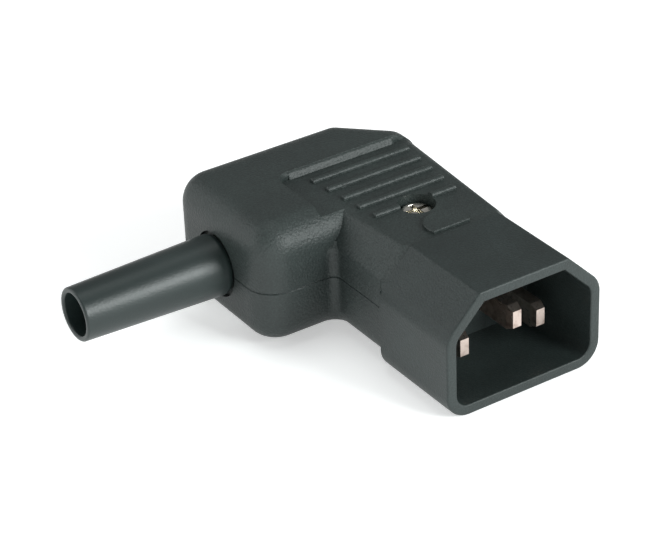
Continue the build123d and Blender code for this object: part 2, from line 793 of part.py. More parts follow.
for name, side in (("left", -1), ("right", 1)):
    x = boot_x + side * clamp_pitch / 2
    with BuildPart() as clamp_screw:
        with Locations((x, clamp_y, post_top + clamp_ear)):
            Cylinder(clamp_head_d / 2, clamp_head_h, align=on_seat)
            Cylinder(screw_d / 2 - thread_gap, clamp_shank, align=under_seat)
        chamfer(clamp_screw.edges().group_by(Axis.Z)[-1], head_bevel)
        with Locations((x, clamp_y, post_top + clamp_ear + clamp_head_h)):
            Box(drive_w, clamp_head_d, drive_depth, align=under_seat, mode=Mode.SUBTRACT)
    clamp_screw.part.label = name + "_clamp_screw"
    export_step(clamp_screw.part, "parts/" + name + "_clamp_screw.step")

    with BuildPart() as insert:
        with Locations((x, clamp_y, post_top)):
            Cylinder(insert_d / 2, insert_h, align=under_seat)
        with Locations((x, clamp_y, post_top)):
            Hole(screw_d / 2)
    insert.part.label = name + "_insert"
    export_step(insert.part, "parts/" + name + "_insert.step")
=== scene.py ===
"""Looks of a right-angle mains inlet plug: shells, shroud, cable sleeve, blades and screws."""

import logging
from collections.abc import Callable, Iterator
from contextlib import contextmanager
from dataclasses import dataclass
from enum import Enum
from math import cos, inf, pi, radians, sin

import bmesh
import bpy
from mathutils import Matrix, Vector

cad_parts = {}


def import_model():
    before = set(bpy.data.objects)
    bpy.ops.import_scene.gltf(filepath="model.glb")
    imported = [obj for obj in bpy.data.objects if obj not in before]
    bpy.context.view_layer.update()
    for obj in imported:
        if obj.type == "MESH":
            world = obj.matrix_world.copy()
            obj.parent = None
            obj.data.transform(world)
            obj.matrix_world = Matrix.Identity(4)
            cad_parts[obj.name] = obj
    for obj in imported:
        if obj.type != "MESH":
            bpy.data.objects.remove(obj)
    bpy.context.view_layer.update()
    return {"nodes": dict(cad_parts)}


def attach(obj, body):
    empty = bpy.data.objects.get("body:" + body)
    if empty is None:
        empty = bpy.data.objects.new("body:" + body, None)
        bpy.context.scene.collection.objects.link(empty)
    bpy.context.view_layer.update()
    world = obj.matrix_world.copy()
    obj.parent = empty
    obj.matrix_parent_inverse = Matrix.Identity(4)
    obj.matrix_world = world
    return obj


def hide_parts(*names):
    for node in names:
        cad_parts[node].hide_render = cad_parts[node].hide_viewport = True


LOG = logging.getLogger("plug")
MM = 0.001

# The photograph's width in pixels and the camera's sensor in millimetres
PHOTO_WIDTH = 666
SENSOR = 36.0

# The curve of screen colours: a straight toe, then a power
FULL_LEVEL = 255
TOE_END = 0.04045
TOE_SLOPE = 12.92
CURVE_OFFSET = 0.055
CURVE_POWER = 2.4

# How near counts as touching a flat, and as lying on an edge or a ring, in millimetres
TOUCH = 0.01
NEAR = 0.02

# Points nearer than the first and edges shorter than the second are merged, in metres
DOUBLES = 0.000002
SLIVERS = 0.000001

# Edges that turn by more degrees stay sharp, and elsewhere the largest face sets the shading
SHARP = 32.0
FACE_WEIGHT = 100

# The plug's axis runs along X at this Y, and the housing screw crosses it here, in millimetres
AXIS_Y = 18.2
SCREW_X = 1.6

WHITE = (1.0, 1.0, 1.0, 1.0)

# A test on the two ends of an edge, or on the middle and the normal of a face
Test = Callable[[Vector, Vector], bool]


def mm(x: float, y: float, z: float) -> Vector:
    """A point or a move given in millimetres, in Blender's metres."""
    return Vector((x, y, z)) * MM


def channel(level: int) -> float:
    """Turns one channel of a screen colour into light.

    Args:
        level: The channel's level, from 0 to 255.

    Returns:
        Its share of full light.
    """
    share = level / FULL_LEVEL
    if share <= TOE_END:
        return share / TOE_SLOPE
    return ((share + CURVE_OFFSET) / (1 + CURVE_OFFSET)) ** CURVE_POWER


def linear(red: int, green: int, blue: int) -> tuple[float, float, float, float]:
    """A screen colour, its channels from 0 to 255, as the linear colour that a shader takes."""
    return channel(red), channel(green), channel(blue), 1.0


# Shader graphs


class Value:
    """A number socket in a material, so that shader maths reads as Python."""

    def __init__(self, graph: "Graph", socket: bpy.types.NodeSocket) -> None:
        """Holds the graph to add nodes to and the output socket."""
        self.graph = graph
        self.socket = socket

    def _math(self, operation: str, other: "Value | float") -> "Value":
        """Adds one Math node and gives its result."""
        node = self.graph.node("ShaderNodeMath", {"operation": operation}, {0: self, 1: other})
        return Value(self.graph, node.outputs[0])

    def __add__(self, other: "Value | float") -> "Value":
        """Sum."""
        return self._math("ADD", other)

    def __mul__(self, other: "Value | float") -> "Value":
        """Product."""
        return self._math("MULTIPLY", other)

    __radd__ = __add__
    __rmul__ = __mul__

    def ramp(self, low: float, high: float) -> "Value":
        """A soft step from 0 at low to 1 at high."""
        node = self.graph.node(
            "ShaderNodeMapRange", {"interpolation_type": "SMOOTHSTEP"},
            {"Value": self, "From Min": low, "From Max": high})
        return Value(self.graph, node.outputs[0])


# What goes into a node's sockets, by name or number
Inputs = dict[str | int, Value | bpy.types.NodeSocket | float | tuple]


class Graph:
    """The node graph of one material."""

    def __init__(self, name: str) -> None:
        """Starts a material with an empty Principled shader.

        Args:
            name: The material's name.
        """
        self.material = bpy.data.materials.new(name)
        self.material.use_nodes = True
        self.tree = self.material.node_tree
        self.tree.nodes.clear()
        self.shader = self.node("ShaderNodeBsdfPrincipled", {}, {})
        out = self.node("ShaderNodeOutputMaterial", {}, {})
        self.tree.links.new(self.shader.outputs["BSDF"], out.inputs["Surface"])
        self.place = self.node("ShaderNodeTexCoord", {}, {}).outputs["Object"]

    def node(self, kind: str, settings: dict[str, object], inputs: Inputs) -> bpy.types.Node:
        """Adds a node.

        Args:
            kind: The node's type.
            settings: Its settings, which are set first.
            inputs: Values or links for its sockets, by name or number.

        Returns:
            The new node.
        """
        node = self.tree.nodes.new(kind)
        for name, setting in settings.items():
            setattr(node, name, setting)
        self.feed(node, inputs)
        return node

    def feed(self, node: bpy.types.Node, inputs: Inputs) -> None:
        """Links a node's sockets or sets their values.

        Args:
            node: The node.
            inputs: What goes into its sockets, by name or number.
        """
        for name, value in inputs.items():
            if isinstance(value, Value):
                value = value.socket
            if isinstance(value, bpy.types.NodeSocket):
                self.tree.links.new(value, node.inputs[name])
            else:
                node.inputs[name].default_value = value

    def noise(self, size_mm: float, detail: float = 2.0, rough: float = 0.5,
              stretch: tuple[float, float, float] | None = None) -> Value:
        """Noise with bumps of about a given size.

        Args:
            size_mm: The width of one bump, in millimetres.
            detail: How many finer layers it has.
            rough: How strong those layers are.
            stretch: Factors that crowd the pattern along the axes.

        Returns:
            The noise, from 0 to 1.
        """
        where = self.place
        if stretch:
            scaled = self.node(
                "ShaderNodeMapping", {"vector_type": "POINT"}, {"Vector": where, "Scale": stretch})
            where = scaled.outputs[0]
        node = self.node(
            "ShaderNodeTexNoise", {"noise_dimensions": "3D"},
            {"Vector": where, "Scale": 1 / (size_mm * MM), "Detail": detail, "Roughness": rough})
        return Value(self, node.outputs[0])

    def cells(self, size_mm: float) -> Value:
        """The distance to the nearest of points scattered about size_mm apart, from 0 to about 1."""
        node = self.node(
            "ShaderNodeTexVoronoi", {"feature": "F1"},
            {"Vector": self.place, "Scale": 1 / (size_mm * MM)})
        return Value(self, node.outputs["Distance"])

    def blend(self, share: Value, first: tuple, second: tuple) -> bpy.types.NodeSocket:
        """A colour between two, by a share from 0 to 1."""
        node = self.node(
            "ShaderNodeMix", {"data_type": "RGBA", "clamp_factor": True},
            {0: share, 6: first, 7: second})
        return node.outputs[2]

    def bump(self, height: Value, depth_mm: float) -> bpy.types.NodeSocket:
        """A normal for a height from 0 to 1 that stands depth_mm at most."""
        node = self.node(
            "ShaderNodeBump", {}, {"Strength": 1.0, "Distance": depth_mm * MM, "Height": height})
        return node.outputs[0]


# Finishes


@dataclass(frozen=True)
class Moulded:
    """Glass-filled plastic from a spark-eroded mould: a fine even grain, a little mottled."""

    name: str
    colour: tuple[int, int, int]
    bloom: tuple[int, int, int]
    roughness: float
    grain_mm: float
    grain_depth_mm: float
    specular: float
    grain_detail: float = 3.0
    grain_rough: float = 0.6
    pit_spread: float = 1.6
    pit_edges: tuple[float, float] = (0.15, 0.75)
    mottle_mm: float = 9.0
    bloom_edges: tuple[float, float] = (0.35, 0.75)
    grain_in_bloom: float = 0.7
    grain_in_height: float = 0.65
    grain_swing: float = 0.10
    mottle_swing: float = 0.08

    def material(self) -> bpy.types.Material:
        """Builds the material.

        Returns:
            The material, whose roughness swings a little about the given one.
        """
        graph = Graph(self.name)
        grain = graph.noise(self.grain_mm, self.grain_detail, self.grain_rough)
        pits = graph.cells(self.grain_mm * self.pit_spread).ramp(*self.pit_edges)
        mottle = graph.noise(self.mottle_mm)
        bloomed = grain * self.grain_in_bloom + mottle * (1 - self.grain_in_bloom)
        height = grain * self.grain_in_height + pits * (1 - self.grain_in_height)
        smoothest = self.roughness - (self.grain_swing + self.mottle_swing) / 2
        bloomed = bloomed.ramp(*self.bloom_edges)
        graph.feed(graph.shader, {
            "Base Color": graph.blend(bloomed, linear(*self.colour), linear(*self.bloom)),
            "Roughness": mottle * self.mottle_swing + grain * self.grain_swing + smoothest,
            "Normal": graph.bump(height, self.grain_depth_mm),
            "Specular IOR Level": self.specular,
        })
        return graph.material


@dataclass(frozen=True)
class Rubbery:
    """Soft vinyl as sleeves are made of: smooth, half glossy, with faint flow marks and rubbed spots."""

    name: str
    colour: tuple[int, int, int]
    rubbed: tuple[int, int, int]
    roughness: float
    skin_mm: float = 0.35
    flow_mm: float = 5.0
    flow_detail: float = 3.0
    flow_stretch: tuple[float, float, float] = (1.0, 0.25, 1.0)
    rub_edges: tuple[float, float] = (0.4, 0.75)
    skin_in_height: float = 0.8
    depth_mm: float = 0.030
    skin_swing: float = 0.06
    flow_swing: float = 0.10

    def material(self) -> bpy.types.Material:
        """Builds the material.

        Returns:
            The material, with its flow marks drawn out along the sleeve.
        """
        graph = Graph(self.name)
        skin = graph.noise(self.skin_mm)
        flow = graph.noise(self.flow_mm, self.flow_detail, stretch=self.flow_stretch)
        height = skin * self.skin_in_height + flow * (1 - self.skin_in_height)
        smoothest = self.roughness - (self.skin_swing + self.flow_swing) / 2
        worn = flow.ramp(*self.rub_edges)
        graph.feed(graph.shader, {
            "Base Color": graph.blend(worn, linear(*self.colour), linear(*self.rubbed)),
            "Roughness": flow * self.flow_swing + skin * self.skin_swing + smoothest,
            "Normal": graph.bump(height, self.depth_mm),
        })
        return graph.material


@dataclass(frozen=True)
class Plated:
    """Bright metal plating with fine drawing marks along one axis and a little tarnish."""

    name: str
    colour: tuple[int, int, int]
    tarnish: tuple[int, int, int]
    roughness: float
    marks: tuple[float, float, float]
    mark_mm: float = 0.12
    mark_rough: float = 0.6
    stain_mm: float = 1.6
    stain_rough: float = 0.55
    detail: float = 3.0
    stain_edges: tuple[float, float] = (0.45, 0.8)
    depth_mm: float = 0.006
    mark_swing: float = 0.14
    stain_swing: float = 0.10

    def material(self) -> bpy.types.Material:
        """Builds the material.

        Returns:
            The material, fully metallic.
        """
        graph = Graph(self.name)
        marks = graph.noise(self.mark_mm, self.detail, self.mark_rough, self.marks)
        stain = graph.noise(self.stain_mm, self.detail, self.stain_rough)
        smoothest = self.roughness - (self.mark_swing + self.stain_swing) / 2
        dulled = stain.ramp(*self.stain_edges)
        graph.feed(graph.shader, {
            "Base Color": graph.blend(dulled, linear(*self.colour), linear(*self.tarnish)),
            "Roughness": marks * self.mark_swing + stain * self.stain_swing + smoothest,
            "Normal": graph.bump(marks, self.depth_mm),
            "Metallic": 1.0,
        })
        return graph.material


class Look(Enum):
    """The finishes of the plug, each a material slot of the record."""

    SHELL = Moulded(
        "shell", (31, 38, 37), (48, 57, 55), 0.50, grain_mm=0.28, grain_depth_mm=0.085, specular=0.47)
    SHROUD = Moulded(
        "shroud", (30, 37, 36), (45, 54, 53), 0.49, grain_mm=0.24, grain_depth_mm=0.055, specular=0.42)
    CLAMP = Moulded(
        "clamp", (34, 36, 36), (44, 46, 46), 0.50, grain_mm=0.30, grain_depth_mm=0.020, specular=0.50)
    SLEEVE = Rubbery("sleeve", (28, 38, 37), (40, 50, 49), 0.41)
    CONTACT = Plated("contact", (204, 188, 179), (160, 140, 130), 0.30, marks=(0.08, 1.0, 1.0))
    TERMINAL = Plated("terminal", (206, 172, 104), (158, 122, 66), 0.34, marks=(0.1, 1.0, 1.0))
    LEAF = Plated("leaf", (198, 196, 190), (160, 156, 148), 0.32, marks=(0.1, 1.0, 1.0))
    SCREW = Plated("screw", (226, 223, 214), (166, 158, 144), 0.22, marks=(1.0, 0.1, 1.0))


class Finishes:
    """Makes each material once and hands it out."""

    def __init__(self) -> None:
        """Starts with none made."""
        self._made: dict[Look, bpy.types.Material] = {}

    def get(self, look: Look) -> bpy.types.Material:
        """Hands out the material of a look.

        Args:
            look: The look.

        Returns:
            Its material, made at the first call.
        """
        if look not in self._made:
            self._made[look] = look.value.material()
        return self._made[look]


# The bench


class Workpiece:
    """A mesh on the bench, picked by place and shaped with Blender's own operators."""

    def __init__(self, name: str) -> None:
        """Takes the primitive that has just been added and puts its place in its mesh.

        Args:
            name: The piece's name.
        """
        self.obj = bpy.context.object
        self.obj.name = name
        self.obj.data.name = name
        bpy.ops.object.transform_apply(location=True, rotation=True, scale=True)

    @classmethod
    def block(cls, name: str, low: Vector, high: Vector) -> "Workpiece":
        """Starts from a block.

        Args:
            name: The piece's name.
            low: Its lowest corner, in metres.
            high: Its highest corner.

        Returns:
            The block.
        """
        bpy.ops.object.select_all(action="DESELECT")
        bpy.ops.mesh.primitive_cube_add(size=1, location=(low + high) / 2, scale=high - low)
        return cls(name)

    @classmethod
    def ring(cls, name: str, centre: Vector, axis: str, radius: float, points: int) -> "Workpiece":
        """Starts from an open ring of edges.

        Args:
            name: The piece's name.
            centre: The ring's middle, in metres.
            axis: The axis that it goes round: X, Y or Z.
            radius: Its radius, in metres.
            points: How many points it has.

        Returns:
            The ring.
        """
        turn = {"X": (0, pi / 2, 0), "Y": (pi / 2, 0, 0), "Z": (0, 0, 0)}[axis]
        bpy.ops.object.select_all(action="DESELECT")
        bpy.ops.mesh.primitive_circle_add(
            vertices=points, radius=radius, fill_type="NOTHING", location=centre, rotation=turn)
        return cls(name)

    def _pick_up(self) -> None:
        """Makes this piece the only one selected, and the active one."""
        bpy.ops.object.select_all(action="DESELECT")
        self.obj.select_set(True)
        bpy.context.view_layer.objects.active = self.obj

    @contextmanager
    def editing(self, kind: str) -> Iterator[None]:
        """Opens the mesh in edit mode with all of it selected, and closes it afterwards.

        Args:
            kind: What is picked: VERT, EDGE or FACE.

        Yields:
            Nothing: the work is done in edit mode.
        """
        self._pick_up()
        bpy.ops.object.mode_set(mode="EDIT")
        bpy.ops.mesh.select_mode(type=kind)
        bpy.ops.mesh.select_all(action="SELECT")
        yield
        bpy.ops.object.mode_set(mode="OBJECT")

    def _pick(self, kind: str, chosen: Callable[[object], bool]) -> int:
        """Selects elements by a test.

        Args:
            kind: EDGE or FACE.
            chosen: Whether an element is picked.

        Returns:
            How many are.
        """
        bpy.ops.mesh.select_mode(type=kind)
        bpy.ops.mesh.select_all(action="DESELECT")
        mesh = bmesh.from_edit_mesh(self.obj.data)
        mesh.normal_update()
        elements = {"EDGE": mesh.edges, "FACE": mesh.faces}[kind]
        picked = [element for element in elements if chosen(element)]
        for element in picked:
            element.select_set(True)
        mesh.select_flush_mode()
        bmesh.update_edit_mesh(self.obj.data)
        return len(picked)

    def pick_faces(self, test: Test) -> int:
        """Selects the faces that a test on their middle (in millimetres) and normal chooses."""
        return self._pick("FACE", lambda face: test(face.calc_center_median() / MM, face.normal))

    def pick_edges(self, test: Test) -> int:
        """Selects the edges that a test on their two ends, in millimetres, chooses."""
        return self._pick("EDGE", lambda edge: test(edge.verts[0].co / MM, edge.verts[1].co / MM))

    @staticmethod
    def extrude_edges(move: Vector) -> None:
        """Draws the picked edges out by a move in metres."""
        bpy.ops.mesh.extrude_edges_move(TRANSFORM_OT_translate={"value": move})

    @staticmethod
    def extrude(move: Vector) -> None:
        """Draws the picked faces out by a move in metres."""
        bpy.ops.mesh.extrude_region_move(TRANSFORM_OT_translate={"value": move})

    @staticmethod
    def resize(factors: tuple[float, float, float], centre: Vector) -> None:
        """Scales what is picked about a point in metres."""
        bpy.ops.transform.resize(value=factors, center_override=centre)

    @staticmethod
    def inset(thickness_mm: float) -> None:
        """Insets the picked faces."""
        bpy.ops.mesh.inset(thickness=thickness_mm * MM, use_even_offset=True)

    @staticmethod
    def bevel(width_mm: float, segments: int) -> None:
        """Rounds the picked edges."""
        bpy.ops.mesh.bevel(
            offset_type="OFFSET", offset=width_mm * MM, segments=segments, affect="EDGES")

    @staticmethod
    def cut_off(place: Vector, outward: Vector) -> None:
        """Cuts off what is selected beyond a plane and closes the cut.

        Args:
            place: A point of the plane, in metres.
            outward: The way that points off the piece.
        """
        bpy.ops.mesh.bisect(
            plane_co=place, plane_no=outward.normalized(), use_fill=True, clear_outer=True)

    @staticmethod
    def face_outwards() -> None:
        """Turns all faces of a closed piece outwards."""
        bpy.ops.mesh.select_all(action="SELECT")
        bpy.ops.mesh.normals_make_consistent(inside=False)

    def combine(self, tool: "Workpiece", operation: str) -> None:
        """Takes another piece off the bench to cut or add to this one.

        Args:
            tool: The other piece.
            operation: DIFFERENCE or UNION.
        """
        change = self.obj.modifiers.new("combine", "BOOLEAN")
        change.operation = operation
        change.solver = "EXACT"
        change.object = tool.obj
        bpy.context.view_layer.objects.active = self.obj
        bpy.ops.object.modifier_apply(modifier=change.name)
        bpy.data.objects.remove(tool.obj)

    def finish(self, material: bpy.types.Material, sharp: float = SHARP) -> bpy.types.Object:
        """Cleans the mesh, points its faces outwards, shades and dresses it.

        Rounded edges are shaded smoothly, and flats stay flat.

        Args:
            material: The finish.
            sharp: Edges that turn by more than this many degrees stay sharp.

        Returns:
            The finished object.
        """
        with self.editing("VERT"):
            bpy.ops.mesh.remove_doubles(threshold=DOUBLES)
            bpy.ops.mesh.dissolve_degenerate(threshold=SLIVERS)
            bpy.ops.mesh.normals_make_consistent(inside=False)
        self._pick_up()
        bpy.ops.object.shade_smooth_by_angle(angle=radians(sharp))
        weigh = self.obj.modifiers.new("weigh", "WEIGHTED_NORMAL")
        weigh.mode = "FACE_AREA"
        weigh.weight = FACE_WEIGHT
        weigh.keep_sharp = True
        bpy.ops.object.modifier_apply(modifier=weigh.name)
        self.obj.data.materials.clear()
        self.obj.data.materials.append(material)
        LOG.info("%s: %d faces, %s", self.obj.name, len(self.obj.data.polygons), material.name)
        return self.obj


@dataclass
class Turned:
    """A piece turned about an axis: its profile is drawn out ring by ring from the first ring."""

    axis: str
    centre: tuple[float, float, float]
    points: int = 96

    def _along(self, distance: float) -> Vector:
        """A place on the axis, or a move along it, in millimetres."""
        return Vector([distance if axis == self.axis else 0.0 for axis in "XYZ"])

    def turn(self, name: str, profile: list[tuple[float, float]], closed: bool = False) -> Workpiece:
        """Turns a profile.

        Args:
            name: The piece's name.
            profile: Its corners, each a distance along the axis and a radius in millimetres.
            closed: Whether the last ring is joined to the first; otherwise both ends are filled.

        Returns:
            The turned piece.
        """
        centre = Vector(self.centre)
        start, radius = profile[0]
        piece = Workpiece.ring(
            name, (centre + self._along(start)) * MM, self.axis, radius * MM, self.points)
        with piece.editing("EDGE"):
            for place, wide in profile[1:]:
                piece.extrude_edges(self._along(place - start) * MM)
                factors = tuple(1.0 if axis == self.axis else wide / radius for axis in "XYZ")
                piece.resize(factors, (centre + self._along(place)) * MM)
                start, radius = place, wide
            bpy.ops.mesh.select_all(action="DESELECT")
            bpy.ops.mesh.select_non_manifold(
                extend=False, use_wire=False, use_multi_face=False, use_non_contiguous=False,
                use_verts=False)
            if closed:
                bpy.ops.mesh.bridge_edge_loops()
            else:
                bpy.ops.mesh.edge_face_add()
        return piece


# The pieces that are modelled anew


@dataclass
class KinkSleeve:
    """The tapered cable sleeve, its rounded root just inside the housing's recess."""

    finishes: Finishes
    centre: tuple[float, float, float] = (-15.9, 0.0, 10.0)
    flange_end: float = -3.4
    flange_start: float = -5.4
    flange_r: float = 5.8
    neck_r: float = 3.9
    root: float = -6.6
    root_r: float = 5.0
    root_round: float = 1.5
    root_steps: int = 8
    tip: float = -32.2
    tip_r: float = 4.3
    bore_r: float = 3.4
    tip_round: float = 0.35
    tip_steps: int = 5
    points: int = 112
    sharp: float = 50.0

    def build(self) -> bpy.types.Object:
        """Turns the sleeve and rounds its root and both edges of its mouth.

        Returns:
            The finished sleeve.
        """
        piece = Turned("Y", self.centre, self.points).turn("kink_sleeve_skin", [
            (self.flange_end, self.bore_r), (self.flange_end, self.flange_r),
            (self.flange_start, self.flange_r), (self.flange_start, self.neck_r),
            (self.root, self.neck_r), (self.root, self.root_r),
            (self.tip, self.tip_r), (self.tip, self.bore_r)], closed=True)
        with piece.editing("EDGE"):
            piece.pick_edges(self._on_ring(self.root, self.root_r))
            piece.bevel(self.root_round, self.root_steps)
            for radius in (self.tip_r, self.bore_r):
                piece.pick_edges(self._on_ring(self.tip, radius))
                piece.bevel(self.tip_round, self.tip_steps)
        obj = piece.finish(self.finishes.get(Look.SLEEVE), self.sharp)
        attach(obj, "root")
        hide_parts("kink_sleeve")
        return obj

    def _on_ring(self, place: float, radius: float) -> Test:
        """Makes a test for the edges of one ring of the profile.

        Args:
            place: The ring's distance along the axis.
            radius: Its radius.

        Returns:
            The test.
        """
        middle = Vector((self.centre[0], self.centre[2]))

        def on_ring(*ends: Vector) -> bool:
            """Whether both ends lie on the ring."""
            return all(abs(end.y - place) < TOUCH and abs((end.xz - middle).length - radius) < NEAR
                       for end in ends)
        return on_ring


@dataclass
class Grip:
    """The thumb grip's skin: round backs over the square ribs, and a slope along the recess wall."""

    finishes: Finishes
    grip_x: float = -16.6
    z_grip: float = 19.75
    z_top: float = 20.85
    sunk: float = 0.2
    hair: float = 0.01
    ribs: int = 5
    first_rib: float = 1.1
    rib_pitch: float = 3.65
    rib_w: float = 1.1
    rib_h: float = 0.62
    rib_half: float = 7.48
    rib_step: float = 0.4
    rib_round: float = 0.38
    counterbore_r: float = 2.985
    counterbore_deep: float = 2.0
    lip_bevel: float = 0.5
    slope: float = 0.56
    slope_round: float = 0.36
    steps: int = 6

    def build(self, shell: bpy.types.Object) -> None:
        """Builds the ribs and the slope.

        Args:
            shell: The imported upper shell, which says how far the recess wall reaches.
        """
        for piece in (self._ribs(), self._wall_slope(shell)):
            obj = piece.finish(self.finishes.get(Look.SHELL))
            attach(obj, "root")

    def _rib(self, index: int) -> Workpiece:
        """Rounds the back of one rib.

        Args:
            index: Its number from the screw, each a little longer than the one before.

        Returns:
            The rib, its foot in the grip's floor.
        """
        x = self.first_rib - index * self.rib_pitch
        half = self.rib_half + index * self.rib_step
        rib = Workpiece.block(
            "grip_ribs", mm(x - self.rib_w / 2, AXIS_Y - half, self.z_grip - self.sunk),
            mm(x + self.rib_w / 2, AXIS_Y + half, self.z_grip + self.rib_h))
        with rib.editing("EDGE"):
            rib.pick_edges(lambda one, two: min(one.z, two.z) > self.z_grip)
            rib.bevel(self.rib_round, self.steps)
        return rib

    def _ribs(self) -> Workpiece:
        """Joins the ribs and cuts them open round the screw.

        Returns:
            All ribs as one piece.
        """
        ribs = self._rib(0)
        for index in range(1, self.ribs):
            ribs.combine(self._rib(index), "UNION")
        hole = Turned("Z", (SCREW_X, AXIS_Y, 0.0)).turn("screw_hole", [
            (self.z_grip - self.counterbore_deep, self.counterbore_r),
            (self.z_top, self.counterbore_r)])
        with hole.editing("FACE"):
            hole.face_outwards()
        ribs.combine(hole, "DIFFERENCE")
        return ribs

    def _wall_slope(self, shell: bpy.types.Object) -> Workpiece:
        """Lays a wedge along the straight part of the recess wall, from its bevel to the floor.

        Args:
            shell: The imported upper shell.

        Returns:
            The wedge, its top and its ends rounded.
        """
        z_edge = self.z_top - self.lip_bevel
        places = [point.co / MM for point in shell.data.vertices]
        edge = [place.y for place in places
                if abs(place.x - self.grip_x) < NEAR and abs(place.z - z_edge) < NEAR]
        LOG.info("the recess wall's edge reaches from y %.2f to %.2f", min(edge), max(edge))
        toe = self.grip_x + self.slope * (z_edge - self.z_grip)
        wedge = Workpiece.block(
            "recess_slope",
            mm(self.grip_x - self.lip_bevel - self.sunk, min(edge), self.z_grip - self.sunk),
            mm(toe, max(edge), self.z_top - self.hair))
        with wedge.editing("FACE"):
            wedge.cut_off(mm(self.grip_x + self.hair, min(edge), z_edge), Vector((1, 0, self.slope)))
            wedge.pick_edges(lambda one, two: min(one.x, two.x) > self.grip_x - self.lip_bevel
                             and max(one.z, two.z) > z_edge)
            wedge.bevel(self.slope_round, self.steps)
        return wedge


@dataclass(frozen=True)
class Section:
    """A section across the plug's axis: its top corners cut off, its bottom ones rounded."""

    half: float
    low: float
    high: float
    flat: float
    shoulder: float
    bottom_round: float
    steps: int = 14

    def prism(self, name: str, x_start: float, x_end: float) -> Workpiece:
        """Draws the section out along X.

        Args:
            name: The piece's name.
            x_start: Where it begins, in millimetres.
            x_end: Where it ends.

        Returns:
            The prism: a block cut at both top corners and rounded at both bottom ones.
        """
        piece = Workpiece.block(
            name, mm(x_start, AXIS_Y - self.half, self.low),
            mm(x_end, AXIS_Y + self.half, self.high))
        for side in (-1, 1):
            with piece.editing("FACE"):
                piece.cut_off(mm(x_start, AXIS_Y + side * self.half, self.shoulder),
                              Vector((0, side * (self.high - self.shoulder), self.half - self.flat)))
        with piece.editing("EDGE"):
            piece.pick_edges(self.along(self.half, self.low))
            piece.bevel(self.bottom_round, self.steps)
        return piece

    @staticmethod
    def along(out: float, z: float) -> Test:
        """Makes a test for the two long edges at one distance from the middle and one height.

        Args:
            out: The distance from the middle.
            z: The height.

        Returns:
            The test.
        """
        def chosen(one: Vector, two: Vector) -> bool:
            """Whether the edge is one of the two."""
            return abs(one.x - two.x) > NEAR and all(
                abs(abs(end.y - AXIS_Y) - out) < NEAR and abs(end.z - z) < NEAR for end in (one, two))
        return chosen

    def beyond(self, place: Vector) -> float:
        """Measures how far a place lies outside the section's flats.

        Args:
            place: The place, in millimetres.

        Returns:
            The distance, less than 0 inside.
        """
        out = abs(place.y - AXIS_Y)
        outward = Vector((self.high - self.shoulder, self.half - self.flat)).normalized()
        corner = outward.dot(Vector((out - self.half, place.z - self.shoulder)))
        return max(out - self.half, place.z - self.high, self.low - place.z, corner)


